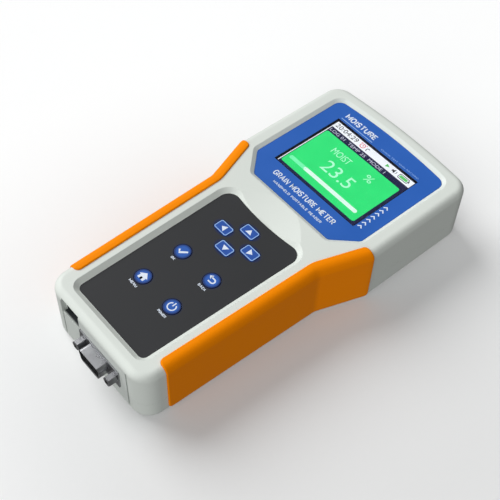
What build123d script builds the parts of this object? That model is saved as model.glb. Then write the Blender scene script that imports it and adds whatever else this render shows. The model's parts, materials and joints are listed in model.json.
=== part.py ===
from build123d import *
import os
import math

# Handheld moisture meter. Millimetres, +Z up, keypad end towards -Y, screen end towards +Y.

# casing outline
HEAD_HALF = 50.0
HEAD_TOP_Y = 105.0
HEAD_CORNER_Y = 101.9
HEAD_BASE_Y = 31.5
NECK_HALF = 40.5
NECK_Y = 4.0
END_HALF = 37.4
END_Y = -99.0
CORNER_R = 10.0
NECK_R = 9.0
FLARE_R = 12.0
CASE_T = 35.0
TOP_R = 4.0
BASE_R = 3.0
WALL = 2.4
PART_Z = 12.0
SEAM = 0.1
SEAM_DEPTH = 0.7
SKIN_Z = 30.2
WIDE = 60.0
LONG = 120.0
CUT_OVER = 0.3
SEAT_GAP = 0.15

# side grips
GRIP_T = 2.2
GRIP_PROUD = 0.8
GRIP_BAND = 6.0
GRIP_Y0 = -85.2
GRIP_Y1 = 32.2
GRIP_Z0 = 1.5
GRIP_FLANGE = 2.0
GRIP_CORNER_R = 2.8
GRIP_EDGE_R = 0.6
GRIP_SLACK = 0.1

# screen overlay and display
OVER_HALF = 39.3
OVER_Y0 = 21.5
OVER_Y1 = 93.5
OVER_CROWN = 95.8
OVER_TOP = 33.7
OVER_T = 0.8
OVER_SLOPE = 2.05
OVER_FOOT_HALF = 28.0
OVER_SHOULDER = 12.0
OVER_HEAD_R = 5.0
OVER_FOOT_R = 3.0
LCD_Y = 60.3
WIN_W = 59.4
WIN_H = 46.2
GLASS_W = 61.0
GLASS_H = 47.4
GLASS_TOP = 32.3
FRAME_W = 69.2
FRAME_H = 50.0

# keypad
PAD_TOP = 33.0
PAD_T = 0.9
PAD_Y0 = -89.5
PAD_SLOPE = 2.4
PAD_Y1 = 6.5
PAD_CROWN = 3.8
PAD_HEAD_HALF = 27.6
PAD_FOOT_HALF = 25.7
PAD_HEAD_R = 6.3
PAD_FOOT_R = 3.0
TROUGH_R = 160.0
TROUGH_Y0 = 5.4
TROUGH_Y1 = 20.4
KEY_PROUD = 0.25
KEY_GAP = 0.3
ARROW_W = 9.3
ARROW_H = 6.2
ROUND_D = 8.8
ARROWS = {"key_up": (0, -5), "key_left": (-10.1, -13.2), "key_right": (10.1, -13.2), "key_down": (0, -21)}
ROUNDS = {
    "key_enter": (-11.2, -38),
    "key_return": (11.2, -38),
    "key_menu": (-11.2, -61.7),
    "key_power": (11.2, -61.7),
}
STEM_R = 1.75
RUN_GAP = 0.08

# boards
BOARD_Z = 24.0
BOARD_T = 1.6
BOARD_HEAD_HALF = 38.0
BOARD_HANDLE_HALF = 27.0
POST_R = 2.6
POST_BORE_R = 0.95
BOARD_BOSSES = [(-30, 88.4), (30, 88.4), (-30, 31.5), (30, 31.5), (-22, -78), (22, -78)]

# case screws
CASE_BOSSES = [(-42.2, 94.5), (42.2, 94.5), (-42.2, 37), (42.2, 37), (-31, -91.5), (31, -91.5)]
BOSS_R = 3.5
SCREW_HEAD_R = 2.7
SCREW_HEAD_Z = 4.2
SCREW_R = 1.28

# socket end
MOUTH_HALF = 26.4
MOUTH_Z0 = 3.4
MOUTH_Z1 = 31.0
PANEL_HALF = 25.3
PANEL_T = 2.6
DSUB_X = 4.75
DSUB_Z = 18.5
DSUB_TIP = -105.4
DSUB_W = 16.9
DSUB_H = 8.3
DSUB_CORNER_R = 1.9
SKIRT_T = 0.8
PIN_PITCH = 2.77
PIN_ROW = 1.42
PIN_R = 0.5
FLANGE_HALF_W = 15.4
FLANGE_HALF_H = 6.2
JACK_PITCH = 25.0
JACK_TIP = -104.6
JACK_AF = 4.8
POCKET_X0 = -25.3
POCKET_X1 = -11.5
POCKET_Z0 = 22.3
POCKET_Z1 = 32.7
POCKET_Y = -94.5
USB_X = -18.4
USB_Z = 27.0
USB_HALF_W = 6.6
USB_HALF_H = 2.95
USB_BACK = -81.6

# battery bay
CELL_R = 7.25
CELL_L = 50.5
CELL_PITCH = 14.7
CELL_Z = 10.5
BAY_Y = -43.5
BAY_HALF_X = 29.8
BAY_HALF_Y = 28.5
BAY_TOP = 18.4
BAY_WALL = 1.6
BAY_LEDGE = 2.1
DOOR_GAP = 0.3


def block(x0, x1, y0, y1, z0, z1):
    body = Box(x1 - x0, y1 - y0, z1 - z0)
    return Pos((x0 + x1) / 2, (y0 + y1) / 2, (z0 + z1) / 2) * body


def rod(x, y, z0, z1, r):
    return Pos(x, y, (z0 + z1) / 2) * Cylinder(r, z1 - z0)


def rod_y(x, z, y0, y1, r):
    return Pos(x, (y0 + y1) / 2, z) * Rot(90, 0, 0) * Cylinder(r, y1 - y0)


def slab(face, z0, z1):
    return extrude(Pos(0, 0, z0) * face, z1 - z0)


def corner(shape, x, y):
    return [v for v in shape.vertices() if abs(abs(v.X) - x) < 0.2 and abs(v.Y - y) < 0.2]


def case_outline():
    side = Polyline(
        (-HEAD_HALF, HEAD_CORNER_Y),
        (-HEAD_HALF, HEAD_BASE_Y),
        (-NECK_HALF, NECK_Y),
        (-END_HALF, END_Y),
        (END_HALF, END_Y),
        (NECK_HALF, NECK_Y),
        (HEAD_HALF, HEAD_BASE_Y),
        (HEAD_HALF, HEAD_CORNER_Y),
    )
    crown = ThreePointArc((HEAD_HALF, HEAD_CORNER_Y), (0, HEAD_TOP_Y), (-HEAD_HALF, HEAD_CORNER_Y))
    face = make_face(side.edges() + crown.edges())
    face = fillet(corner(face, HEAD_HALF, HEAD_CORNER_Y), CORNER_R)
    face = fillet(corner(face, END_HALF, END_Y), CORNER_R)
    face = fillet(corner(face, NECK_HALF, NECK_Y), NECK_R)
    return fillet(corner(face, HEAD_HALF, HEAD_BASE_Y), FLARE_R)


def rounded_case(face, z0, z1, top_r, base_r):
    body = slab(face, z0, z1)
    tops = body.edges().filter_by_position(Axis.Z, z1 - 0.01, z1 + 0.01)
    body = fillet(tops, top_r)
    lows = body.edges().filter_by_position(Axis.Z, z0 - 0.01, z0 + 0.01)
    return fillet(lows, base_r)


def overlay_outline():
    side = Polyline(
        (-OVER_HALF, OVER_Y1),
        (-OVER_HALF, OVER_Y0 + OVER_SHOULDER),
        (-OVER_FOOT_HALF, OVER_Y0),
        (OVER_FOOT_HALF, OVER_Y0),
        (OVER_HALF, OVER_Y0 + OVER_SHOULDER),
        (OVER_HALF, OVER_Y1),
    )
    crown = ThreePointArc((OVER_HALF, OVER_Y1), (0, OVER_CROWN), (-OVER_HALF, OVER_Y1))
    face = make_face(side.edges() + crown.edges())
    face = fillet(corner(face, OVER_HALF, OVER_Y1), OVER_HEAD_R)
    face = fillet(corner(face, OVER_HALF, OVER_Y0 + OVER_SHOULDER), OVER_FOOT_R)
    return fillet(corner(face, OVER_FOOT_HALF, OVER_Y0), OVER_FOOT_R)


def keypad_outline():
    side = Polyline(
        (-PAD_HEAD_HALF, PAD_Y1),
        (-PAD_FOOT_HALF, PAD_Y0),
        (PAD_FOOT_HALF, PAD_Y0),
        (PAD_HEAD_HALF, PAD_Y1),
    )
    crown = ThreePointArc((PAD_HEAD_HALF, PAD_Y1), (0, PAD_CROWN), (-PAD_HEAD_HALF, PAD_Y1))
    face = make_face(side.edges() + crown.edges())
    face = fillet(corner(face, PAD_HEAD_HALF, PAD_Y1), PAD_HEAD_R)
    return fillet(corner(face, PAD_FOOT_HALF, PAD_Y0), PAD_FOOT_R)


def leaning_recess(face, z0, spread):
    """Cut from z0 up past the case top; its walls have leant out by spread at the case top."""
    angle = -math.degrees(math.atan2(spread, CASE_T - z0))
    return extrude(Pos(0, 0, z0) * face, CASE_T - z0 + CUT_OVER, taper=angle)


def neck_trough():
    """Wide shallow trough in the neck, climbing from the keypad's top edge to the case top."""
    climb = math.degrees(math.atan2(CASE_T - PAD_TOP, TROUGH_Y1 - TROUGH_Y0))
    drum = Rot(climb, 0, 0) * rod_y(0, TROUGH_R, -WIDE, WIDE, TROUGH_R)
    drum = Pos(0, TROUGH_Y0, PAD_TOP) * drum
    return drum & block(-NECK_HALF, NECK_HALF, 0, TROUGH_Y1 + 1, PAD_TOP, CASE_T + CUT_OVER)


def keypad_recess():
    return leaning_recess(offset(keypad_outline(), CUT_OVER), PAD_TOP, PAD_SLOPE) + neck_trough()


def grip_plan(outline, slack):
    """Plan of the two grips: a band along the case edge, its inner end corners rounded."""
    band = offset(outline, 6.0) - offset(outline, -(GRIP_BAND + slack))
    length = GRIP_Y1 - GRIP_Y0 + 2 * slack
    band = band & (Pos(0, (GRIP_Y0 + GRIP_Y1) / 2) * Rectangle(LONG, length))
    return [round_corners(face, GRIP_CORNER_R) for face in band.faces()]


def round_corners(face, r):
    return offset(offset(face, -r), r).face()


def grip_region(outline, slack):
    side = Pos((GRIP_Y0 + GRIP_Y1) / 2, (GRIP_Z0 + CASE_T) / 2 + 2) * Rectangle(
        GRIP_Y1 - GRIP_Y0 + 2 * slack, CASE_T - GRIP_Z0 + 4 + 2 * slack
    )
    side = fillet(side.vertices().sort_by(Axis.Y)[:2], GRIP_CORNER_R)
    prism = extrude(Plane.YZ * side, WIDE, both=True)
    region = None
    for face in grip_plan(outline, slack):
        part = slab(face, GRIP_Z0 - slack, CASE_T + 3) & prism
        region = part if region is None else region + part
    return region


def grip_core(outline, slack):
    return slab(offset(outline, -(GRIP_T + slack)), -1, CASE_T - GRIP_FLANGE - slack)


def build_grips(outline):
    body = rounded_case(
        offset(outline, GRIP_PROUD), 0.3, CASE_T + GRIP_PROUD, TOP_R + GRIP_PROUD, BASE_R
    )
    both = (body & grip_region(outline, 0)) - grip_core(outline, 0)
    case = rounded_case(outline, 0, CASE_T, TOP_R, BASE_R)
    plans = grip_plan(outline, 0)
    rims = [edge for edge in both.edges() if on_rim(edge, plans, case)]
    return fillet(rims, GRIP_EDGE_R).solids().sort_by(Axis.X)


def on_rim(edge, plans, case):
    """True for an edge of the raised rim: above the plan's border and clear of the case."""
    spot = edge.center()
    gap = min(plan.outer_wire().distance_to(Vertex(spot.X, spot.Y, 0)) for plan in plans)
    return gap < 0.01 and not case.solid().is_inside(spot, 0.01)


def cavity(outline):
    narrow = slab(offset(outline, -(GRIP_T + 2.1)), WALL, SKIN_Z)
    wide = slab(offset(outline, -WALL), WALL, SKIN_Z)
    head = wide & block(-WIDE, WIDE, GRIP_Y1 + WALL, LONG, 0, CASE_T)
    rim = slab(offset(outline, -WALL) - offset(outline, -6.2), SKIN_Z - 0.1, CASE_T - WALL)
    rim = rim & block(-WIDE, WIDE, GRIP_Y1 + WALL, LONG, 0, CASE_T)
    end = wide & block(-WIDE, WIDE, -LONG, GRIP_Y0 - WALL, 0, CASE_T)
    return narrow + head + end + rim


def casing(outline):
    body = rounded_case(outline, 0, CASE_T, TOP_R, BASE_R)
    body = body - (grip_region(outline, GRIP_SLACK) - grip_core(outline, GRIP_SLACK))
    body = body - cavity(outline)
    return body - block(-MOUTH_HALF, MOUTH_HALF, END_Y - 2, END_Y + 5, MOUTH_Z0, MOUTH_Z1)


def key_shapes(grow):
    shapes = {}
    for name, spot in ARROWS.items():
        face = RectangleRounded(ARROW_W + 2 * grow, ARROW_H + 2 * grow, 1.2 + grow)
        shapes[name] = Pos(spot[0], spot[1]) * face
    for name, spot in ROUNDS.items():
        shapes[name] = Pos(spot[0], spot[1]) * Circle(ROUND_D / 2 + grow)
    return shapes


def cut_keys(body, z0, z1):
    for face in key_shapes(KEY_GAP).values():
        body = body - slab(face, z0, z1)
    return body


def build_front_shell(whole):
    body = whole & block(-WIDE, WIDE, -LONG, LONG, PART_Z, CASE_T + 1)
    over = overlay_outline()
    body = body - slab(offset(over, SEAT_GAP), OVER_TOP - OVER_T, OVER_TOP + 0.01)
    body = body - leaning_recess(offset(over, SEAT_GAP), OVER_TOP, OVER_SLOPE)
    body = body - keypad_recess()
    body = body - block(POCKET_X0, POCKET_X1, END_Y - 2, POCKET_Y + 0.9, SKIN_Z, POCKET_Z1)
    body = body - slab(offset(keypad_outline(), SEAT_GAP), PAD_TOP - PAD_T, PAD_TOP + 0.01)
    body = body - block(-31.2, 31.2, LCD_Y - 24.3, LCD_Y + 24.3, SKIN_Z - 1, 34)
    body = cut_keys(body, SKIN_Z - 1, 34)
    for x, y in CASE_BOSSES:
        body = body + rod(x, y, PART_Z, SKIN_Z + 0.5, BOSS_R)
        body = body - rod(x, y, PART_Z - 1, 24, 1.3)
    for x, y in BOARD_BOSSES:
        body = body + rod(x, y, BOARD_Z + BOARD_T, SKIN_Z + 0.5, POST_R)
        body = body - rod(x, y, BOARD_Z, 29.6, POST_BORE_R)
    return body


def build_back_shell(whole, outline):
    body = whole & block(-WIDE, WIDE, -LONG, LONG, -1, PART_Z)
    seam = slab(offset(outline, 1.0) - offset(outline, -SEAM_DEPTH), PART_Z - SEAM, PART_Z + 1)
    body = body - (seam - grip_cover())
    hx = BAY_HALF_X + BAY_WALL
    hy = BAY_HALF_Y + BAY_WALL
    body = body + block(-hx, hx, BAY_Y - hy, BAY_Y + hy, WALL - 0.5, BAY_TOP + BAY_WALL)
    body = body - block(-BAY_HALF_X, BAY_HALF_X, BAY_Y - BAY_HALF_Y, BAY_Y + BAY_HALF_Y, 3.2, BAY_TOP)
    body = body - block(-BAY_HALF_X, BAY_HALF_X, BAY_Y - BAY_HALF_Y, BAY_Y + BAY_HALF_Y, -1, 2.0)
    inner_x = BAY_HALF_X - BAY_LEDGE
    inner_y = BAY_HALF_Y - BAY_LEDGE
    body = body - block(-inner_x, inner_x, BAY_Y - inner_y, BAY_Y + inner_y, 1, 4)
    for x in (cell_centres()[0], cell_centres()[3]):
        body = body - block(x - 1.8, x + 1.8, BAY_Y + BAY_HALF_Y - 1, BAY_Y + hy + 1, 14.0, 15.0)
    for x, y in CASE_BOSSES:
        body = body + rod(x, y, WALL - 0.5, PART_Z, BOSS_R)
        body = body - rod(x, y, -1, PART_Z + 1, 1.7)
        body = body - rod(x, y, -1, SCREW_HEAD_Z, 3.1)
    for i in range(5):
        body = body - block(18 + 3 * i, 19.4 + 3 * i, 50, 58, -1, WALL + 1)
    return body


def grip_cover():
    return block(-WIDE, WIDE, GRIP_Y0 - GRIP_SLACK, GRIP_Y1 + GRIP_SLACK, 0, CASE_T)


def build_overlay():
    body = slab(overlay_outline(), OVER_TOP - OVER_T, OVER_TOP)
    half_w = WIN_W / 2 + SEAT_GAP
    half_h = WIN_H / 2 + SEAT_GAP
    return body - block(-half_w, half_w, LCD_Y - half_h, LCD_Y + half_h, 30, 36)


def build_keypad():
    return cut_keys(slab(keypad_outline(), PAD_TOP - PAD_T, PAD_TOP), 30, 35)


def build_keys():
    keys = {}
    flanges = key_shapes(0.7)
    for name, face in key_shapes(0).items():
        spot = {**ARROWS, **ROUNDS}[name]
        top = PAD_TOP + KEY_PROUD
        body = slab(face, 29.5, top)
        tops = body.edges().filter_by_position(Axis.Z, top - 0.01, top + 0.01)
        body = fillet(tops, 0.2)
        body = body + slab(flanges[name], 29.0, 29.8)
        keys[name] = body + rod(spot[0], spot[1], 27.0, 29.1, STEM_R)
    return keys


def build_switches():
    parts = []
    for x, y in list(ARROWS.values()) + list(ROUNDS.values()):
        body = block(x - 3, x + 3, y - 3, y + 3, BOARD_Z + BOARD_T, 28.2)
        parts.append(body - rod(x, y, 26.2, 30, STEM_R + RUN_GAP))
    return Compound(children=parts)


def board_outline():
    head = Pos(0, 59.5) * RectangleRounded(2 * BOARD_HEAD_HALF, 64, 2)
    handle = Pos(0, -30) * RectangleRounded(2 * BOARD_HANDLE_HALF, 126, 2)
    return head + handle


def build_board():
    body = slab(board_outline(), BOARD_Z, BOARD_Z + BOARD_T)
    body = body - block(-30, -10.8, -100, USB_BACK + 0.4, 20, 30)
    for x, y in BOARD_BOSSES:
        body = body - rod(x, y, 20, 30, 1.15)
    for x, z, y in contact_spots():
        body = body - rod(x, y, 20, 30, 0.45)
    return body


def build_board_screws():
    parts = []
    for x, y in BOARD_BOSSES:
        parts.append(rod(x, y, BOARD_Z, 29.0, POST_BORE_R) + rod(x, y, BOARD_Z - 1.5, BOARD_Z, 2.0))
    return Compound(children=parts)


def build_chips():
    low = BOARD_Z
    top = BOARD_Z + BOARD_T
    parts = [
        block(-10, 4, 50, 64, low - 1.6, low),
        block(12, 22, 66, 76, low - 1.4, low),
        block(-28, -18, 70, 78, low - 1.2, low),
        block(-24, -16, 42, 47, low - 1.7, low),
        block(-4, 6, 4, 11, low - 1.8, low),
        block(14, 24, 0, 8, low - 3.0, low),
        block(-22, -14, -2, 3, low - 1.5, low),
        block(18, 24, -40, -34, top, top + 1.5),
        block(-24, -19, -52, -46, top, top + 1.5),
    ]
    for x in (-30, -24, 30):
        parts.append(rod(x, 58, low - 7, low, 2.5))
    return Compound(children=parts)


def build_lcd():
    glass = block(-GLASS_W / 2, GLASS_W / 2, LCD_Y - GLASS_H / 2, LCD_Y + GLASS_H / 2, 30.0, GLASS_TOP)
    frame = block(-FRAME_W / 2, FRAME_W / 2, LCD_Y - FRAME_H / 2, LCD_Y + FRAME_H / 2, 27.4, 30.0)
    frame = fillet(frame.edges().filter_by(Axis.Z), 0.8)
    flex = block(-12, 12, 33.4, 33.6, BOARD_Z + BOARD_T + 0.9, 28.6)
    flex = flex + block(-12, 12, 33.4, 35.2, 28.4, 28.6)
    flex = flex + block(-12, 12, 29.0, 33.6, BOARD_Z + BOARD_T + 0.7, BOARD_Z + BOARD_T + 0.9)
    plug = block(-13.5, 13.5, 25.5, 29.0, BOARD_Z + BOARD_T, BOARD_Z + BOARD_T + 1.8)
    return glass, frame, flex, plug


def build_window():
    y0 = LCD_Y - WIN_H / 2
    y1 = LCD_Y + WIN_H / 2
    return block(-WIN_W / 2, WIN_W / 2, y0, y1, OVER_TOP - OVER_T, OVER_TOP - 0.05)


def d_profile(width, height, r):
    lean = height * math.tan(math.radians(10))
    line = Polyline(
        (-width / 2, height / 2),
        (-width / 2 + lean, -height / 2),
        (width / 2 - lean, -height / 2),
        (width / 2, height / 2),
        close=True,
    )
    face = make_face(line.edges())
    return fillet(face.vertices(), r)


def d_slab(width, height, r, y0, y1):
    face = Plane.XZ * d_profile(width, height, r)
    body = extrude(face, y1 - y0)
    return Pos(DSUB_X, y1, DSUB_Z) * body


def contact_spots():
    spots = []
    for i in range(5):
        spots.append((DSUB_X + (i - 2) * PIN_PITCH, DSUB_Z + PIN_ROW, -88.0))
    for i in range(4):
        spots.append((DSUB_X + (i - 1.5) * PIN_PITCH, DSUB_Z - PIN_ROW, -85.4))
    return spots


def build_dsub():
    plate_y = END_Y - SKIRT_T
    shell = d_slab(DSUB_W, DSUB_H, DSUB_CORNER_R, DSUB_TIP, END_Y)
    shell = shell + block(
        DSUB_X - FLANGE_HALF_W, DSUB_X + FLANGE_HALF_W, plate_y, END_Y,
        DSUB_Z - FLANGE_HALF_H, DSUB_Z + FLANGE_HALF_H,
    )
    for x in jack_centres():
        shell = shell + rod_y(x, DSUB_Z, END_Y - 0.1, -91.5, 2.0)
    shell = shell - d_slab(DSUB_W - 0.8, DSUB_H - 0.8, DSUB_CORNER_R - 0.4, DSUB_TIP - 1, END_Y + 1)
    for x in jack_centres():
        shell = shell - rod_y(x, DSUB_Z, plate_y - 1, -90, 1.5)
    core = d_slab(DSUB_W - 0.9, DSUB_H - 0.9, DSUB_CORNER_R - 0.45, DSUB_TIP + 0.35, END_Y + 0.1)
    core = core + block(DSUB_X - 9.4, DSUB_X + 9.4, END_Y, -86.9, DSUB_Z - 5.2, DSUB_Z + 5.2)
    pins = []
    for x, z, y in contact_spots():
        core = core - rod_y(x, z, DSUB_TIP - 1, -80, 0.6)
        pin = rod_y(x, z, DSUB_TIP + 0.8, y, PIN_R) + rod(x, y, z - PIN_R, BOARD_Z + BOARD_T + 0.8, 0.35)
        pins.append(pin - rod_y(x, z, DSUB_TIP, DSUB_TIP + 5, 0.32))
    core = core - block(DSUB_X - 9.5, DSUB_X + 9.5, -88.7, -80, DSUB_Z - 0.5, DSUB_Z + 8)
    return shell, core, Compound(children=pins)


def jack_centres():
    return (DSUB_X - JACK_PITCH / 2, DSUB_X + JACK_PITCH / 2)


def build_jackscrews():
    foot = END_Y - SKIRT_T - 0.05
    parts = []
    for x in jack_centres():
        hexagon = Plane.XZ * RegularPolygon(JACK_AF / 2, 6, major_radius=False)
        body = Pos(0, foot, 0) * extrude(hexagon, foot - JACK_TIP)
        tips = body.edges().filter_by_position(Axis.Y, JACK_TIP - 0.01, JACK_TIP + 0.01)
        body = chamfer(tips, 0.35)
        body = body + rod_y(0, 0, foot - 0.1, -92, 1.42)
        body = body - rod_y(0, 0, JACK_TIP - 1, JACK_TIP + 4.2, 1.25)
        parts.append(Pos(x, 0, DSUB_Z) * body)
    return Compound(children=parts)


def build_panel():
    """Flush end plate with a tongue round its back edge and a sunk pocket for the data port."""
    back = END_Y + PANEL_T
    body = block(-PANEL_HALF, PANEL_HALF, END_Y, back, MOUTH_Z0 + 0.12, MOUTH_Z1 - 0.12)
    body = body + block(-27.0, 27.0, back - 0.1, back + 0.5, 4.6, 29.9)
    body = body + block(POCKET_X0 - 0.9, POCKET_X1 + 0.9, back, POCKET_Y + 0.8, POCKET_Z0 - 0.9, 29.9)
    body = body - block(POCKET_X0, POCKET_X1, END_Y - 1, POCKET_Y, POCKET_Z0, 35)
    body = body - block(
        USB_X - USB_HALF_W - 0.1, USB_X + USB_HALF_W + 0.1, POCKET_Y - 1, POCKET_Y + 2,
        USB_Z - USB_HALF_H - 0.1, USB_Z + USB_HALF_H + 0.1,
    )
    body = body - block(DSUB_X - 9.5, DSUB_X + 9.5, END_Y - 1, -94, DSUB_Z - 5.3, DSUB_Z + 5.3)
    for x in jack_centres():
        body = body - rod_y(x, DSUB_Z, END_Y - 1, -94, 2.1)
    return body


def build_usb():
    wall = 0.35
    x0 = USB_X - USB_HALF_W
    x1 = USB_X + USB_HALF_W
    z0 = USB_Z - USB_HALF_H
    z1 = USB_Z + USB_HALF_H
    shell = block(x0, x1, POCKET_Y - 0.2, USB_BACK, z0, z1)
    shell = shell - block(x0 + wall, x1 - wall, POCKET_Y - 1, USB_BACK - wall, z0 + wall, z1 - wall)
    tongue = block(x0 + 1, x1 - 1, POCKET_Y + 0.6, USB_BACK - 0.5, USB_Z + 0.2, USB_Z + 2.0)
    tongue = tongue + block(x0 + 0.5, x1 - 0.5, USB_BACK - 3.5, USB_BACK - 0.5, z0 + 0.5, z1 - 0.5)
    return shell, tongue


def build_door():
    hx = BAY_HALF_X - DOOR_GAP
    hy = BAY_HALF_Y - DOOR_GAP
    body = block(-hx, hx, BAY_Y - hy, BAY_Y + hy, 0.25, 1.9)
    body = fillet(body.edges().filter_by(Axis.Z), 1.0)
    for i in range(6):
        y = BAY_Y + hy - 8 - 1.8 * i
        body = body - block(-9 + 0.6 * i, 9 - 0.6 * i, y, y + 0.9, 0, 0.7)
    return body


def cell_centres():
    return [(i - 1.5) * CELL_PITCH for i in range(4)]


def build_cells():
    jackets = []
    caps = []
    for i, x in enumerate(cell_centres()):
        way = 1 if i % 2 else -1
        y0 = BAY_Y - CELL_L / 2
        y1 = BAY_Y + CELL_L / 2
        if way > 0:
            jackets.append(rod_y(x, CELL_Z, y0 + 0.6, y1 - 1.6, CELL_R))
            caps.append(rod_y(x, CELL_Z, y1 - 1.6, y1 - 1.2, 6.6) + rod_y(x, CELL_Z, y1 - 1.3, y1, 2.7))
            caps.append(rod_y(x, CELL_Z, y0, y0 + 0.6, 6.6))
        else:
            jackets.append(rod_y(x, CELL_Z, y0 + 1.6, y1 - 0.6, CELL_R))
            caps.append(rod_y(x, CELL_Z, y0 + 1.2, y0 + 1.6, 6.6) + rod_y(x, CELL_Z, y0, y0 + 1.3, 2.7))
            caps.append(rod_y(x, CELL_Z, y1 - 0.6, y1, 6.6))
    return Compound(children=jackets), Compound(children=caps)


def coil(x, y, way):
    path = Helix(pitch=0.7, height=2.1, radius=4.6, cone_angle=0)
    start = path @ 0
    wire = Plane(origin=start, z_dir=path % 0) * Circle(0.28)
    body = sweep(wire, path=path, is_frenet=True)
    body = Pos(x, y, CELL_Z) * Rot(-90 * way, 0, 0) * body
    return body


def build_contacts():
    springs = []
    plates = []
    for i, x in enumerate(cell_centres()):
        way = 1 if i % 2 else -1
        spring_y = BAY_Y - way * (CELL_L / 2 + 2.42)
        springs.append(coil(x, spring_y, way))
    y_low = BAY_Y - BAY_HALF_Y + 0.15
    y_high = BAY_Y + BAY_HALF_Y - 0.15
    for x0 in (cell_centres()[0], cell_centres()[2]):
        plates.append(block(x0 - 6, x0 + CELL_PITCH + 6, y_low, y_low + 0.3, 5, 16))
    for x0 in (cell_centres()[0], cell_centres()[3]):
        tag = block(x0 - 1.5, x0 + 1.5, y_high - 0.1, y_high + 3.4, 14.35, 14.65)
        plates.append(block(x0 - 6, x0 + 6, y_high - 0.3, y_high, 5, 16) + tag)
    plates.append(block(cell_centres()[1] - 6, cell_centres()[2] + 6, y_high - 0.3, y_high, 5, 16))
    return Compound(children=springs), Compound(children=plates)


def build_leads():
    y = BAY_Y + BAY_HALF_Y + 2.4
    parts = []
    for x in (cell_centres()[0], cell_centres()[3]):
        parts.append(rod(x, y, 14.7, BOARD_Z, 0.7))
    return Compound(children=parts)


def build_case_screws():
    parts = []
    for x, y in CASE_BOSSES:
        head = rod(x, y, 1.9, SCREW_HEAD_Z, SCREW_HEAD_R)
        slots = block(x - 1.6, x + 1.6, y - 0.35, y + 0.35, 1, 3.1)
        head = head - (slots + block(x - 0.35, x + 0.35, y - 1.6, y + 1.6, 1, 3.1))
        parts.append(head + rod(x, y, SCREW_HEAD_Z - 0.1, 20, SCREW_R))
    return Compound(children=parts)


def build_buzzer():
    body = rod(25, 45, BOARD_Z - 8.5, BOARD_Z, 6)
    return body - rod(25, 45, BOARD_Z - 9, BOARD_Z - 6.5, 1)


def solids_only(shape):
    found = shape.solids()
    if len(found) == 1:
        return found[0]
    return Compound(children=list(found))


def main():
    os.makedirs("parts", exist_ok=True)
    outline = case_outline()
    whole = casing(outline)
    nodes = {}
    nodes["front_shell"] = build_front_shell(whole)
    nodes["back_shell"] = build_back_shell(whole, outline)
    nodes["grip_left"], nodes["grip_right"] = build_grips(outline)
    nodes["screen_overlay"] = build_overlay()
    nodes["display_window"] = build_window()
    glass, frame, flex, plug = build_lcd()
    nodes["lcd_panel"] = glass
    nodes["lcd_frame"] = frame
    nodes["lcd_flex"] = flex
    nodes["lcd_connector"] = plug
    nodes["keypad_membrane"] = build_keypad()
    nodes.update(build_keys())
    nodes["key_switches"] = build_switches()
    nodes["main_board"] = build_board()
    nodes["board_chips"] = build_chips()
    nodes["board_screws"] = build_board_screws()
    nodes["end_panel"] = build_panel()
    nodes["dsub_shell"], nodes["dsub_insulator"], nodes["dsub_contacts"] = build_dsub()
    nodes["jackscrews"] = build_jackscrews()
    nodes["usb_shell"], nodes["usb_tongue"] = build_usb()
    nodes["battery_door"] = build_door()
    nodes["cell_jackets"], nodes["cell_caps"] = build_cells()
    nodes["cell_springs"], nodes["cell_plates"] = build_contacts()
    nodes["battery_leads"] = build_leads()
    nodes["case_screws"] = build_case_screws()
    nodes["buzzer"] = build_buzzer()
    for name, shape in nodes.items():
        export_step(solids_only(shape), "parts/" + name + ".step")


main()
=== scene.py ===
import json
import math

import bmesh
import bpy
from mathutils import Matrix, Vector


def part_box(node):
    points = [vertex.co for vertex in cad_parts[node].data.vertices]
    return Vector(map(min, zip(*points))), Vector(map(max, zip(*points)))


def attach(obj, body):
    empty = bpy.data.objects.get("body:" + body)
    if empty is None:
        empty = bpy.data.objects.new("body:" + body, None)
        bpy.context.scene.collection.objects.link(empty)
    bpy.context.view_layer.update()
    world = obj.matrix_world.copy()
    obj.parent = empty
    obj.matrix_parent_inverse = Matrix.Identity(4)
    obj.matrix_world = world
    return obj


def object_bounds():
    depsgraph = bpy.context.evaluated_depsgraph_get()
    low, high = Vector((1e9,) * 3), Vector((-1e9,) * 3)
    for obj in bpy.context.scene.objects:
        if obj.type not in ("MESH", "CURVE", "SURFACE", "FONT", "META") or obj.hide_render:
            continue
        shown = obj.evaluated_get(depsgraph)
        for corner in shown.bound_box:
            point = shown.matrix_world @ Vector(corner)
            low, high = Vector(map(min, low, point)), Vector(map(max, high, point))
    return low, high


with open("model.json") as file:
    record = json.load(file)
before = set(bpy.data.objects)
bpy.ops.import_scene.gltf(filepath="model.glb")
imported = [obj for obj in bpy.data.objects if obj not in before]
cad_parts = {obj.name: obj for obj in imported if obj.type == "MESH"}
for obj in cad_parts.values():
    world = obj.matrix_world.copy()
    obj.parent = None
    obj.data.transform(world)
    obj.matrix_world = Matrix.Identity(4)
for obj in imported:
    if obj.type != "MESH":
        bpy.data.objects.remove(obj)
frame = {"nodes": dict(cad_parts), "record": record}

NODES = frame["nodes"]
cad_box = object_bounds()
MM = 0.001

# heights taken from the frame
OVERLAY_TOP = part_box("screen_overlay")[1].z
GLASS_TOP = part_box("lcd_panel")[1].z
KEY_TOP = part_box("key_enter")[1].z
PAD_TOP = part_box("keypad_membrane")[1].z

# thickness of a print, and of one layer of the lit screen
PRINT = 0.02 * MM
LAYER = 0.05 * MM

ARROWS = ["key_up", "key_down", "key_left", "key_right"]
ROUNDS = ["key_enter", "key_return", "key_menu", "key_power"]
WHITE = (1.0, 1.0, 1.0, 1.0)


def lin(r, g, b):
    """Linear colour of an 8-bit sRGB one."""
    out = []
    for c in (r, g, b):
        c = c / 255.0
        out.append(c / 12.92 if c <= 0.04045 else ((c + 0.055) / 1.055) ** 2.4)
    return out + [1.0]


def middle(node):
    lo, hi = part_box(node)
    return (lo + hi) / 2


# ---------------------------------------------------------------- shader helpers

NOISE_LOW = 0.3
NOISE_HIGH = 0.7


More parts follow.
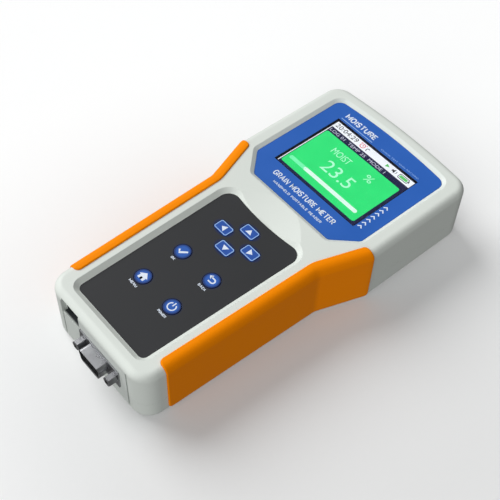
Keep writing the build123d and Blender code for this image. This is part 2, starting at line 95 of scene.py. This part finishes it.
def new_tree(name):
    mat = bpy.data.materials.new(name)
    mat.use_nodes = True
    tree = mat.node_tree
    shader = tree.nodes["Principled BSDF"]
    return mat, tree, shader


def object_place(tree):
    return tree.nodes.new("ShaderNodeTexCoord").outputs["Object"]


def feed(tree, value, socket):
    """Link a socket, or set it where the value is a plain one."""
    if isinstance(value, bpy.types.NodeSocket):
        tree.links.new(value, socket)
    else:
        socket.default_value = value


def noise(tree, scale, detail=3.0, rough=0.5):
    node = tree.nodes.new("ShaderNodeTexNoise")
    node.inputs["Scale"].default_value = scale
    node.inputs["Detail"].default_value = detail
    node.inputs["Roughness"].default_value = rough
    tree.links.new(object_place(tree), node.inputs["Vector"])
    return node.outputs["Fac"]


def remap(tree, value, source, target, kind="LINEAR"):
    node = tree.nodes.new("ShaderNodeMapRange")
    node.interpolation_type = kind
    node.inputs["From Min"].default_value = source[0]
    node.inputs["From Max"].default_value = source[1]
    node.inputs["To Min"].default_value = target[0]
    node.inputs["To Max"].default_value = target[1]
    tree.links.new(value, node.inputs["Value"])
    return node.outputs["Result"]


def spread(tree, value, lo, hi):
    return remap(tree, value, (NOISE_LOW, NOISE_HIGH), (lo, hi))


def falloff(tree, value, near, far):
    """1 up to near, 0 from far on, smooth between them."""
    return remap(tree, value, (near, far), (1.0, 0.0), "SMOOTHSTEP")


def mix(tree, factor, a, b):
    node = tree.nodes.new("ShaderNodeMix")
    node.data_type = "RGBA"
    tree.links.new(factor, node.inputs["Factor"])
    feed(tree, a, node.inputs["A"])
    feed(tree, b, node.inputs["B"])
    return node.outputs["Result"]


def arithmetic(tree, operation, value, other=0.0):
    node = tree.nodes.new("ShaderNodeMath")
    node.operation = operation
    feed(tree, value, node.inputs[0])
    feed(tree, other, node.inputs[1])
    return node.outputs["Value"]


def distance_to(tree, place, spot, squeeze=(1.0, 1.0)):
    """Plan distance to a spot; squeeze makes its circles ovals."""
    node = tree.nodes.new("ShaderNodeMapping")
    node.inputs["Location"].default_value = (-spot[0] * squeeze[0], -spot[1] * squeeze[1], 0)
    node.inputs["Scale"].default_value = (squeeze[0], squeeze[1], 0.0)
    tree.links.new(place, node.inputs["Vector"])
    length = tree.nodes.new("ShaderNodeVectorMath")
    length.operation = "LENGTH"
    tree.links.new(node.outputs["Vector"], length.inputs[0])
    return length.outputs["Value"]


def shade(color, k):
    return [min(1.0, c * k) for c in color[:3]] + [1.0]


# ---------------------------------------------------------------- materials

def surface(
    name, color, rough, vary=0.04, vary_scale=30, rough_vary=0.06, grain=1800,
    bump=0.12, depth=0.00004, metal=0.0, coat=0.0, specular=0.5,
):
    """Plain surface with a clouded tint, a clouded roughness and a fine grain."""
    mat, tree, shader = new_tree(name)
    cloud = noise(tree, vary_scale)
    speck = noise(tree, grain, 2.0)
    tint = mix(tree, spread(tree, cloud, 0.0, 1.0), shade(color, 1 - vary), shade(color, 1 + vary))
    fine = mix(tree, spread(tree, speck, 0.0, 0.35), tint, shade(color, 1 - 2 * vary))
    tree.links.new(fine, shader.inputs["Base Color"])
    tree.links.new(spread(tree, cloud, rough - rough_vary, rough + rough_vary), shader.inputs["Roughness"])
    relief = tree.nodes.new("ShaderNodeBump")
    relief.inputs["Strength"].default_value = bump
    relief.inputs["Distance"].default_value = depth
    tree.links.new(speck, relief.inputs["Height"])
    tree.links.new(relief.outputs["Normal"], shader.inputs["Normal"])
    shader.inputs["Metallic"].default_value = metal
    shader.inputs["Coat Weight"].default_value = coat
    shader.inputs["Specular IOR Level"].default_value = specular
    return mat


def glow(name, color, vary=0.03, vary_scale=120):
    """Lit surface of the screen."""
    mat, tree, shader = new_tree(name)
    cloud = noise(tree, vary_scale, 2.0)
    tint = mix(tree, spread(tree, cloud, 0.0, 1.0), shade(color, 1 - vary), shade(color, 1 + vary))
    shader.inputs["Base Color"].default_value = shade(color, 0.12)
    shader.inputs["Specular IOR Level"].default_value = 0.2
    tree.links.new(tint, shader.inputs["Emission Color"])
    tree.links.new(spread(tree, cloud, 0.3, 0.4), shader.inputs["Roughness"])
    shader.inputs["Emission Strength"].default_value = 1.0
    return mat


def clear_window():
    mat, tree, shader = new_tree("clear_window")
    shader.inputs["Base Color"].default_value = (0.94, 0.96, 1.0, 1.0)
    shader.inputs["Transmission Weight"].default_value = 1.0
    shader.inputs["IOR"].default_value = 1.3
    tree.links.new(spread(tree, noise(tree, 60), 0.015, 0.05), shader.inputs["Roughness"])
    return mat


def colour_of(mat):
    """Tree, colour socket and present colour of a material that surface() made."""
    tree = mat.node_tree
    socket = tree.nodes["Principled BSDF"].inputs["Base Color"]
    return tree, socket, socket.links[0].from_socket


NAVY = lin(24, 38, 84)
ARROW_SQUEEZE = (0.78, 1.12)
HALO_INNER = 3.8 * MM
HALO_OUTER = 5.6 * MM
DISC_INNER = 2.6 * MM
DISC_OUTER = 4.6 * MM


def keypad_film():
    """Dark film with a faint blue halo printed round each key."""
    mat = surface("keypad_film", lin(50, 51, 53), 0.55, 0.04, 40, 0.05, 2600, 0.08, 0.00003, specular=0.2)
    tree, socket, base = colour_of(mat)
    place = object_place(tree)
    nearest = None
    for key in ARROWS + ROUNDS:
        squeeze = ARROW_SQUEEZE if key in ARROWS else (1.0, 1.0)
        reach = distance_to(tree, place, middle(key), squeeze)
        nearest = reach if nearest is None else arithmetic(tree, "MINIMUM", nearest, reach)
    halo = falloff(tree, nearest, HALO_INNER, HALO_OUTER)
    tree.links.new(mix(tree, halo, base, NAVY), socket)
    return mat


def round_key_print(name, spot):
    """Blue disc that darkens to navy at its rim."""
    mat = surface(name, lin(46, 96, 184), 0.45, 0.04, 200, 0.05, 2600, 0.06, 0.00003, specular=0.2)
    tree, socket, base = colour_of(mat)
    disc = falloff(tree, distance_to(tree, object_place(tree), spot), DISC_INNER, DISC_OUTER)
    tree.links.new(mix(tree, disc, NAVY, base), socket)
    return mat


# Painted shade in the port pocket: the pale panel plastic is coloured dark on the pocket's walls and floor,
# where the recess lies in shade.
POCKET_PAINTED_SHADE = lin(52, 56, 58)
POCKET_START = 0.1 * MM
POCKET_DEEP = 1.4 * MM
POCKET_MARGIN = 0.35 * MM
POCKET_EDGE = 0.05 * MM


def panel_plastic():
    """Pale plastic with painted shade: it turns dark behind its front face, as wide as the port pocket."""
    pale = lin(214, 220, 215)
    mat = surface("panel_plastic", pale, 0.5, 0.02, 40, 0.05, 1800, 0.12, 0.00005, specular=0.25)
    tree, socket, base = colour_of(mat)
    axes = tree.nodes.new("ShaderNodeSeparateXYZ")
    tree.links.new(object_place(tree), axes.inputs["Vector"])
    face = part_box("end_panel")[0].y
    front = falloff(tree, axes.outputs["Y"], face + POCKET_START, face + POCKET_DEEP)
    # painted shade: dark colour deeper than the panel's front face
    painted_pocket_shade = mix(tree, front, POCKET_PAINTED_SHADE, base)
    port_lo, port_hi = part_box("usb_shell")
    half = (port_hi.x - port_lo.x) / 2 + POCKET_MARGIN
    aside = arithmetic(tree, "SUBTRACT", axes.outputs["X"], (port_lo.x + port_hi.x) / 2)
    inside = falloff(tree, arithmetic(tree, "ABSOLUTE", aside), half, half + POCKET_EDGE)
    tree.links.new(mix(tree, inside, base, painted_pocket_shade), socket)
    return mat


# After the colour: roughness, tint change and its scale, roughness change, grain scale, bump
# strength and bump depth in metres.
ink = surface("white_ink", lin(228, 238, 252), 0.45, 0.03, 260, 0.05, 2600, 0.05, 0.00001)
pale_ink = surface("pale_ink", lin(150, 188, 238), 0.45, 0.05, 260, 0.05, 2600, 0.05, 0.00001)

SLOT_MATERIALS = {
    "shell_plastic": surface(
        "shell_plastic", lin(222, 228, 222), 0.48, 0.014, 22, 0.05, 2200, 0.06, 0.00003, specular=0.25
    ),
    "grip_rubber": surface(
        "grip_rubber", lin(255, 142, 0), 0.55, 0.03, 28, 0.06, 1500, 0.12, 0.00005, specular=0.05
    ),
    "overlay_film": surface(
        "overlay_film", lin(43, 99, 188), 0.42, 0.035, 45, 0.05, 2600, 0.06, 0.00003, specular=0.25
    ),
    "window_clear": clear_window(),
    "lcd_face": surface("screen_border", lin(20, 24, 52), 0.28, 0.06, 90, 0.05, 1800, 0.04, 0.00001),
    "bright_steel": surface(
        "bright_steel", lin(150, 151, 154), 0.32, 0.06, 70, 0.06, 900, 0.03, 0.00001, metal=1.0
    ),
    "keypad_film": keypad_film(),
    "key_blue": surface(
        "key_blue", lin(44, 86, 170), 0.45, 0.05, 200, 0.05, 2600, 0.06, 0.00003, specular=0.2
    ),
    "black_plastic": surface(
        "black_plastic", lin(20, 20, 22), 0.6, 0.1, 60, 0.06, 1800, 0.12, 0.00005, specular=0.15
    ),
    "board_green": surface("board_green", lin(24, 92, 52), 0.42, 0.12, 90, 0.06, 1400, 0.15, 0.00004),
    "flex_amber": surface("flex_amber", lin(176, 110, 30), 0.35, 0.08, 120, 0.05, 1400, 0.1, 0.00003),
    "panel_plastic": panel_plastic(),
    "contact_gold": surface(
        "contact_gold", lin(214, 170, 86), 0.3, 0.08, 400, 0.06, 2500, 0.08, 0.00002, metal=1.0
    ),
    "white_plastic": surface("white_plastic", lin(226, 228, 226), 0.45, 0.03, 90, 0.05, 1800, 0.1, 0.00003),
    "cell_wrap": surface(
        "cell_wrap", lin(28, 84, 58), 0.3, 0.08, 60, 0.05, 1200, 0.06, 0.00003, coat=0.3
    ),
    "wire_insulation": surface(
        "wire_insulation", lin(170, 24, 20), 0.45, 0.08, 120, 0.05, 1500, 0.1, 0.00003
    ),
}
for entry in frame["record"]["subparts"]:
    mesh = NODES[entry["node"]].data
    mesh.materials.clear()
    mesh.materials.append(SLOT_MATERIALS[entry["material_slot"]])
for key in ROUNDS:
    NODES[key].data.materials[0] = round_key_print(key + "_print", middle(key))


# ---------------------------------------------------------------- flat shapes, in millimetres

# widest growth of a line at a bend is 1 / BLUNTEST
BLUNTEST = 0.45


def piece(name, mesh, mat, body):
    mesh.materials.clear()
    mesh.materials.append(mat)
    obj = bpy.data.objects.new(name, mesh)
    bpy.context.scene.collection.objects.link(obj)
    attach(obj, body)


def row_of(bm, points, z):
    return [bm.verts.new((x * MM, y * MM, z)) for x, y in points]


def skin(bm, low, top, closed):
    """Side walls between two matching rows of points."""
    count = len(low) if closed else len(low) - 1
    for i in range(count):
        j = (i + 1) % len(low)
        bm.faces.new((low[i], low[j], top[j], top[i]))


def solid_loop(bm, loop, z, thick):
    """A closed outline, given thickness."""
    area = sum(a[0] * b[1] - b[0] * a[1] for a, b in zip(loop, loop[1:] + loop[:1]))
    loop = loop if area > 0 else loop[::-1]
    low = row_of(bm, loop, z)
    top = row_of(bm, loop, z + thick)
    bm.faces.new(top)
    bm.faces.new(low[::-1])
    skin(bm, low, top, True)


def solid_band(bm, band, z, thick):
    """A line with width: quads between its left and right rows, walled all round."""
    left, right, closed = band
    left_low = row_of(bm, left, z)
    left_top = row_of(bm, left, z + thick)
    right_low = row_of(bm, right, z)
    right_top = row_of(bm, right, z + thick)
    skin(bm, right_top, left_top, closed)
    skin(bm, left_low, right_low, closed)
    skin(bm, right_low, right_top, closed)
    skin(bm, left_top, left_low, closed)
    if not closed:
        bm.faces.new((left_low[0], left_top[0], right_top[0], right_low[0]))
        bm.faces.new((right_low[-1], right_top[-1], left_top[-1], left_low[-1]))


def plates(name, shapes, z, mat, body="meter", thick=PRINT):
    """Thin printed shapes: closed outlines, and the bands that stroke() makes."""
    bm = bmesh.new()
    for shape in shapes:
        if isinstance(shape, tuple):
            solid_band(bm, shape, z, thick)
        else:
            solid_loop(bm, shape, z, thick)
    mesh = bpy.data.meshes.new(name)
    bmesh.ops.triangulate(bm, faces=[f for f in bm.faces if len(f.verts) > 4])
    bm.to_mesh(mesh)
    bm.free()
    piece(name, mesh, mat, body)


def arc_points(cx, cy, r, a0, a1, steps):
    points = []
    for i in range(steps + 1):
        a = math.radians(a0 + (a1 - a0) * i / steps)
        points.append((cx + r * math.cos(a), cy + r * math.sin(a)))
    return points


def rect(x0, x1, y0, y1, r=0.0, steps=6):
    """Rectangle, with round corners where r is given."""
    if r <= 0:
        return [(x0, y0), (x1, y0), (x1, y1), (x0, y1)]
    return (
        arc_points(x1 - r, y0 + r, r, -90, 0, steps)
        + arc_points(x1 - r, y1 - r, r, 0, 90, steps)
        + arc_points(x0 + r, y1 - r, r, 90, 180, steps)
        + arc_points(x0 + r, y0 + r, r, 180, 270, steps)
    )


def mitre(before, here, after):
    """How much a line widens at a bend."""
    u = (here[0] - before[0], here[1] - before[1])
    v = (after[0] - here[0], after[1] - here[1])
    reach = (math.hypot(*u) or 1.0) * (math.hypot(*v) or 1.0)
    cosine = max(-1.0, min(1.0, (u[0] * v[0] + u[1] * v[1]) / reach))
    return 1.0 / max(BLUNTEST, math.cos(math.acos(cosine) / 2))


def stroke(points, width, closed=False):
    """A line of this width with mitred corners, as a list of one band for plates()."""
    count = len(points)
    left = []
    right = []
    for i, here in enumerate(points):
        before = points[i - 1] if closed else points[max(i - 1, 0)]
        after = points[(i + 1) % count] if closed else points[min(i + 1, count - 1)]
        dx = after[0] - before[0]
        dy = after[1] - before[1]
        half = width / 2 / (math.hypot(dx, dy) or 1.0)
        if closed or 0 < i < count - 1:
            half *= mitre(before, here, after)
        left.append((here[0] - dy * half, here[1] + dx * half))
        right.append((here[0] + dy * half, here[1] - dx * half))
    return [(left, right, closed)]


# ---------------------------------------------------------------- lettering, in millimetres

WELD = 1e-7


def flat_text(name, text):
    """Flat mesh of a text in Blender's own font."""
    curve = bpy.data.curves.new(name + "_curve", "FONT")
    curve.body = text
    curve.size = 1.0
    curve.resolution_u = 3
    temp = bpy.data.objects.new(name + "_temp", curve)
    bpy.context.scene.collection.objects.link(temp)
    bpy.context.view_layer.update()
    flat = bpy.data.meshes.new_from_object(temp.evaluated_get(bpy.context.evaluated_depsgraph_get()))
    bpy.data.objects.remove(temp)
    return flat


def words(name, text, x0, x1, y0, y1, z, mat, body="meter"):
    """Lettering fitted to a box, that reads along +X."""
    bm = bmesh.new()
    bm.from_mesh(flat_text(name, text))
    xs = [v.co.x for v in bm.verts]
    ys = [v.co.y for v in bm.verts]
    left = min(xs)
    low = min(ys)
    wide = (x1 - x0) / (max(xs) - left)
    high = (y1 - y0) / (max(ys) - low)
    for v in bm.verts:
        x = x0 + (v.co.x - left) * wide
        y = y0 + (v.co.y - low) * high
        v.co = Vector((x * MM, y * MM, z))
    bmesh.ops.remove_doubles(bm, verts=bm.verts, dist=WELD)
    grown = bmesh.ops.extrude_face_region(bm, geom=list(bm.faces))
    for v in [g for g in grown["geom"] if isinstance(g, bmesh.types.BMVert)]:
        v.co.z += PRINT
    bmesh.ops.recalc_face_normals(bm, faces=bm.faces)
    mesh = bpy.data.meshes.new(name)
    bm.to_mesh(mesh)
    bm.free()
    piece(name, mesh, mat, body)


# Block capitals: each letter is its width and the lines it is drawn with, on a unit box.
LETTERS = {
    "A": (0.75, [[(0, 0), (0.5, 1), (1, 0)], [(0.22, 0.33), (0.78, 0.33)]]),
    "B": (0.62, [
        [(0, 0), (0, 1), (0.65, 1), (0.9, 0.86), (0.9, 0.66), (0.65, 0.53), (0, 0.53)],
        [(0.65, 0.53), (1, 0.38), (1, 0.15), (0.7, 0), (0, 0)],
    ]),
    "C": (0.68, [[(1, 0.8), (0.72, 1), (0.28, 1), (0, 0.74), (0, 0.26), (0.28, 0), (0.72, 0), (1, 0.2)]]),
    "D": (0.68, [[(0, 0), (0, 1), (0.6, 1), (1, 0.72), (1, 0.28), (0.6, 0), (0, 0)]]),
    "E": (0.55, [[(1, 1), (0, 1), (0, 0), (1, 0)], [(0, 0.5), (0.85, 0.5)]]),
    "G": (0.7, [[
        (1, 0.8), (0.72, 1), (0.28, 1), (0, 0.74), (0, 0.26), (0.28, 0), (0.72, 0), (1, 0.2),
        (1, 0.46), (0.6, 0.46),
    ]]),
    "H": (0.66, [[(0, 0), (0, 1)], [(1, 0), (1, 1)], [(0, 0.5), (1, 0.5)]]),
    "I": (0.02, [[(0.5, 0), (0.5, 1)]]),
    "K": (0.64, [[(0, 0), (0, 1)], [(1, 1), (0.08, 0.42)], [(0.36, 0.58), (1, 0)]]),
    "L": (0.52, [[(0, 1), (0, 0), (1, 0)]]),
    "M": (0.82, [[(0, 0), (0, 1), (0.5, 0.3), (1, 1), (1, 0)]]),
    "N": (0.68, [[(0, 0), (0, 1), (1, 0), (1, 1)]]),
    "O": (0.74, [[
        (0.3, 0), (0, 0.28), (0, 0.72), (0.3, 1), (0.7, 1), (1, 0.72), (1, 0.28), (0.7, 0), (0.3, 0),
    ]]),
    "P": (0.6, [[(0, 0), (0, 1), (0.7, 1), (1, 0.85), (1, 0.6), (0.7, 0.45), (0, 0.45)]]),
    "R": (0.64, [
        [(0, 0), (0, 1), (0.7, 1), (1, 0.85), (1, 0.6), (0.7, 0.45), (0, 0.45)],
        [(0.5, 0.45), (1, 0)],
    ]),
    "S": (0.6, [[
        (1, 0.8), (0.75, 1), (0.25, 1), (0, 0.82), (0, 0.68), (0.25, 0.53),
        (0.75, 0.47), (1, 0.32), (1, 0.18), (0.75, 0), (0.25, 0), (0, 0.2),
    ]]),
    "T": (0.64, [[(0.5, 0), (0.5, 1)], [(0, 1), (1, 1)]]),
    "U": (0.66, [[(0, 1), (0, 0.26), (0.28, 0), (0.72, 0), (1, 0.26), (1, 1)]]),
    "W": (0.95, [[(0, 1), (0.25, 0), (0.5, 0.7), (0.75, 0), (1, 1)]]),
    " ": (0.25, []),
}
LETTER_GAP = 0.34


def capitals(name, text, x0, x1, y0, y1, weight, z, mat, body="meter"):
    """Block capitals of one line weight, fitted to a box."""
    high = y1 - y0 - weight
    run = sum(LETTERS[letter][0] for letter in text) + LETTER_GAP * (len(text) - 1)
    scale = (x1 - x0 - weight) / run
    x = x0 + weight / 2
    bands = []
    for letter in text:
        width, lines = LETTERS[letter]
        for line in lines:
            points = [(x + u * width * scale, y0 + weight / 2 + v * high) for u, v in line]
            bands += stroke(points, weight)
        x += (width + LETTER_GAP) * scale
    plates(name, bands, z, mat, body)


# ---------------------------------------------------------------- the lit screen

CY = middle("display_window").y / MM
HALF_W = 28.8
LOW = CY - 22.2
HIGH = CY + 22.2
BAR_LOW = CY + 17.2
SIGN_Y = CY + 19.8

green_lit = glow("screen_green", lin(48, 228, 120))
white_lit = glow("screen_white", lin(246, 248, 250))
navy_lit = glow("screen_navy", lin(30, 30, 66))
dim_lit = glow("screen_dim_text", lin(206, 206, 222))
mint_lit = glow("screen_mint", lin(176, 255, 206))
pale_lit = glow("screen_pale", lin(226, 255, 236))
soft_lit = glow("screen_soft_green", lin(122, 248, 176))
dark_lit = glow("screen_dark_text", lin(44, 46, 50))
red_lit = glow("screen_red", lin(232, 120, 124))
leaf_lit = glow("screen_leaf", lin(96, 200, 104))

Z1 = GLASS_TOP + LAYER
Z2 = Z1 + LAYER

plates("screen_ground", [rect(-HALF_W, HALF_W, LOW, HIGH)], GLASS_TOP, navy_lit, thick=LAYER)
plates("screen_status_bar", [rect(-HALF_W, HALF_W, BAR_LOW, HIGH)], Z1, white_lit)
plates("screen_edge_line", [rect(-HALF_W, -HALF_W + 0.5, LOW + 0.4, BAR_LOW)], Z1, white_lit)
plates("screen_panel", [rect(-27.9, 27.0, LOW + 1.7, CY + 13.1, 1.3)], Z1, green_lit)
words("screen_clock_digits", "20:04:29", -27.6, -11.4, CY + 18.4, CY + 21.4, Z2, dark_lit)
words("screen_value", "23.5", -10.9, 9.3, CY - 8.8, CY - 0.5, Z2, mint_lit)
words("screen_label", "MOIST", -15.4, -2.4, CY + 3.4, CY + 7.8, Z2, mint_lit)
words("screen_unit", "%", 9.2, 14.2, CY + 3.2, CY + 8.0, Z2, mint_lit)
words("screen_header_text", "LOG 01  TEMP 25  MODE 1", -27.4, 13.6, CY + 14.1, CY + 16.1, Z2, dim_lit)
plates("screen_bar_rest", [rect(-15.6, 23.8, CY - 16.3, CY - 13.9, 1.15)], Z2, pale_lit)
plates("screen_bar_done", [rect(-26.4, -14.2, CY - 16.3, CY - 13.9, 1.15)], Z2, soft_lit)
plates("screen_alarm_sign", stroke(arc_points(-7.4, CY + 19.7, 1.5, 0, 345, 22), 0.45, True), Z2, red_lit)
plates(
    "screen_alarm_hands",
    stroke([(-7.4, CY + 20.6), (-7.4, CY + 19.6), (-6.7, CY + 19.6)], 0.35)
    + stroke([(-9.6, CY + 21.0), (-8.8, CY + 21.6)], 0.4)
    + stroke([(-5.2, CY + 21.0), (-6.0, CY + 21.6)], 0.4),
    Z2,
    red_lit,
)
plates("screen_link_sign", stroke(arc_points(-3.2, CY + 19.4, 1.1, 60, 250, 12), 0.4), Z2, dark_lit)
plates("screen_play_sign", [[(10.2, SIGN_Y - 1.2), (12.6, SIGN_Y), (10.2, SIGN_Y + 1.2)]], Z2, leaf_lit)
horn = [
    (14.6, SIGN_Y - 0.6), (15.5, SIGN_Y - 0.6), (16.5, SIGN_Y - 1.5),
    (16.5, SIGN_Y + 1.5), (15.5, SIGN_Y + 0.6), (14.6, SIGN_Y + 0.6),
]
wave = stroke(arc_points(16.6, SIGN_Y, 1.1, -55, 55, 8), 0.3)
plates("screen_sound_sign", [horn] + wave, Z2, dark_lit)
plates("screen_cell_frame", stroke(rect(19.6, 26.0, CY + 18.4, CY + 21.3, 0.5), 0.4, True), Z2, dark_lit)
plates("screen_cell_fill", [rect(20.2, 25.4, CY + 18.95, CY + 20.75)], Z2, leaf_lit)
plates("screen_cell_tip", [rect(26.2, 26.8, CY + 19.3, CY + 20.4)], Z2, dark_lit)

# ---------------------------------------------------------------- overlay prints

CHEVRON_X = 30.7
CHEVRON_STEP = 1.3
CHEVRON_PITCH = 3.06


def chevron(y):
    tip = (CHEVRON_X + CHEVRON_STEP, y + CHEVRON_STEP)
    return stroke([(CHEVRON_X, y), tip, (CHEVRON_X + 2 * CHEVRON_STEP, y)], 0.62)


capitals("overlay_title", "MOISTURE", -28.4, -5.8, CY + 26.2, CY + 30.0, 0.72, OVERLAY_TOP, ink)
plates("overlay_rule", [rect(-29.0, -5.4, CY + 24.3, CY + 24.75)], OVERLAY_TOP, pale_ink)
words("overlay_note", "QUICK TEST AND RECORD", 1.2, 28.4, CY + 24.2, CY + 25.3, OVERLAY_TOP, pale_ink)
capitals(
    "overlay_name", "GRAIN MOISTURE METER", -22.6, 22.4, CY - 31.0, CY - 27.5, 0.56, OVERLAY_TOP, ink
)
capitals(
    "overlay_subname", "HANDHELD PORTABLE READER", -17.8, 18.0, CY - 34.9, CY - 33.4, 0.3, OVERLAY_TOP, ink
)
chevrons = []
for i in range(7):
    chevrons += chevron(CY - 21.2 + CHEVRON_PITCH * i)
plates("overlay_chevrons", chevrons, OVERLAY_TOP, ink)

# ---------------------------------------------------------------- key prints

TURNS = {"key_up": 0, "key_left": 90, "key_down": 180, "key_right": 270}
ARROW_HEAD = ((0, 1.55), (-1.95, -1.25), (1.95, -1.25))
OUTLINE_X = 4.25
OUTLINE_Y = 2.7


def key_outline(c):
    loop = rect(c.x - OUTLINE_X, c.x + OUTLINE_X, c.y - OUTLINE_Y, c.y + OUTLINE_Y, 0.9)
    return stroke(loop, 0.46, True)


def arrow(c, degrees):
    a = math.radians(degrees)
    loop = []
    for u, v in ARROW_HEAD:
        x = c.x + u * math.cos(a) - v * math.sin(a)
        y = c.y + u * math.sin(a) + v * math.cos(a)
        loop.append((x, y))
    return [loop]


def tick(c):
    return stroke([(c.x - 2.2, c.y - 0.1), (c.x - 0.7, c.y - 1.6), (c.x + 2.2, c.y + 1.6)], 0.95)


def hook(c):
    bend = arc_points(c.x + 0.6, c.y, 1.3, 90, -90, 14)
    line = [(c.x - 1.6, c.y + 1.3)] + bend + [(c.x - 1.3, c.y - 1.3)]
    head = [(c.x - 1.2, c.y + 2.6), (c.x - 2.9, c.y + 1.3), (c.x - 1.2, c.y)]
    return stroke(line, 0.75) + [head]


def house(c):
    roof = [(c.x - 2.9, c.y + 0.1), (c.x, c.y + 2.6), (c.x + 2.9, c.y + 0.1)]
    walls = [
        (c.x - 2.0, c.y + 0.1), (c.x - 2.0, c.y - 2.1), (c.x - 0.6, c.y - 2.1), (c.x - 0.6, c.y - 0.6),
        (c.x + 0.6, c.y - 0.6), (c.x + 0.6, c.y - 2.1), (c.x + 2.0, c.y - 2.1), (c.x + 2.0, c.y + 0.1),
    ]
    return [roof, walls]


def power(c):
    ring = stroke(arc_points(c.x, c.y - 0.1, 2.15, 122, 418, 30), 0.62)
    return ring + [rect(c.x - 0.31, c.x + 0.31, c.y + 0.3, c.y + 2.7)]


# piece name, drawing, label and half the label's width
SIGNS = {
    "key_enter": ("tick", tick, "OK", 1.3),
    "key_return": ("hook", hook, "BACK", 2.6),
    "key_menu": ("house", house, "MENU", 2.9),
    "key_power": ("sign", power, "POWER", 2.9),
}
LABEL_LOW = 6.7
LABEL_HIGH = 5.3

for key in ARROWS:
    centre = middle(key) / MM
    plates(key + "_outline", key_outline(centre), KEY_TOP, pale_ink, key)
    plates(key + "_arrow", arrow(centre, TURNS[key]), KEY_TOP, ink, key)
for key, (sign, draw, text, half) in SIGNS.items():
    plates(key + "_" + sign, draw(middle(key) / MM), KEY_TOP, ink, key)
for key, (sign, draw, text, half) in SIGNS.items():
    x, y, z = middle(key) / MM
    capitals(key + "_label", text, x - half, x + half, y - LABEL_LOW, y - LABEL_HIGH, 0.32, PAD_TOP, ink)

# ---------------------------------------------------------------- floor, light, camera

FLOOR_HALF = 4.0
FLOOR_GAP = 0.02 * MM
# Painted shadow on the floor: its glow drops to grey round a spot beside the meter, where the meter's cast
# shadow lies.
PAINTED_SHADOW_SPOT = (0.09, -0.03)
PAINTED_SHADOW_NEAR = 0.06
PAINTED_SHADOW_FAR = 0.26
PAINTED_SHADOW_GREY = (0.3, 0.3, 0.3, 1.0)
FLOOR_GLOW = 0.34

floor_mesh = bpy.data.meshes.new("floor")
bm = bmesh.new()
bmesh.ops.create_grid(bm, x_segments=1, y_segments=1, size=FLOOR_HALF)
bm.to_mesh(floor_mesh)
bm.free()
floor = bpy.data.objects.new("floor", floor_mesh)
floor.location.z = cad_box[0][2] - FLOOR_GAP
paper = surface("floor_paper", lin(217, 218, 218), 0.7, 0.008, 3, 0.04, 300, 0.03, 0.0001, specular=0.05)
tree = paper.node_tree
paper_shader = tree.nodes["Principled BSDF"]
# painted shadow: less floor glow near the spot
painted_shadow_mask = falloff(tree, distance_to(tree, object_place(tree), PAINTED_SHADOW_SPOT), PAINTED_SHADOW_NEAR, PAINTED_SHADOW_FAR)
tree.links.new(mix(tree, painted_shadow_mask, WHITE, PAINTED_SHADOW_GREY), paper_shader.inputs["Emission Color"])
paper_shader.inputs["Emission Strength"].default_value = FLOOR_GLOW
floor_mesh.materials.append(paper)
floor.visible_diffuse = False
floor.visible_glossy = False
bpy.context.scene.collection.objects.link(floor)


def sun_light(name, energy, spread_angle, towards):
    """Soft sun that stands in the direction given."""
    data = bpy.data.lights.new(name, "SUN")
    data.energy = energy
    data.angle = math.radians(spread_angle)
    lamp = bpy.data.objects.new(name, data)
    lamp.rotation_euler = Vector(towards).to_track_quat("Z", "Y").to_euler()
    bpy.context.scene.collection.objects.link(lamp)


sun_light("key_light", 2.6, 40, (-0.72, -0.08, 0.62))
sun_light("fill_light", 1.45, 60, (0.30, -0.85, 0.43))

WORLD_STRENGTH = 0.2
world = bpy.data.worlds.new("studio")
world.use_nodes = True
background = world.node_tree.nodes["Background"]
background.inputs["Color"].default_value = WHITE
background.inputs["Strength"].default_value = WORLD_STRENGTH
bpy.context.scene.world = world

CAMERA_PLACE = (0.2274, -0.2091, 0.4135)
CAMERA_RIGHT = (0.64438529, 0.76428339, 0.02526852)
CAMERA_UP = (-0.61474795, 0.49808961, 0.6115486)
CAMERA_BACK = (0.45481045, -0.40960669, 0.79080327)
cam_data = bpy.data.cameras.new("camera")
cam_data.lens = 71.19
cam_data.sensor_width = 36.0
cam = bpy.data.objects.new("camera", cam_data)
turn = Matrix((CAMERA_RIGHT, CAMERA_UP, CAMERA_BACK)).transposed()
cam.matrix_world = Matrix.Translation(CAMERA_PLACE) @ turn.to_4x4()
bpy.context.scene.collection.objects.link(cam)
bpy.context.scene.camera = cam
bpy.context.scene.view_settings.view_transform = "Standard"
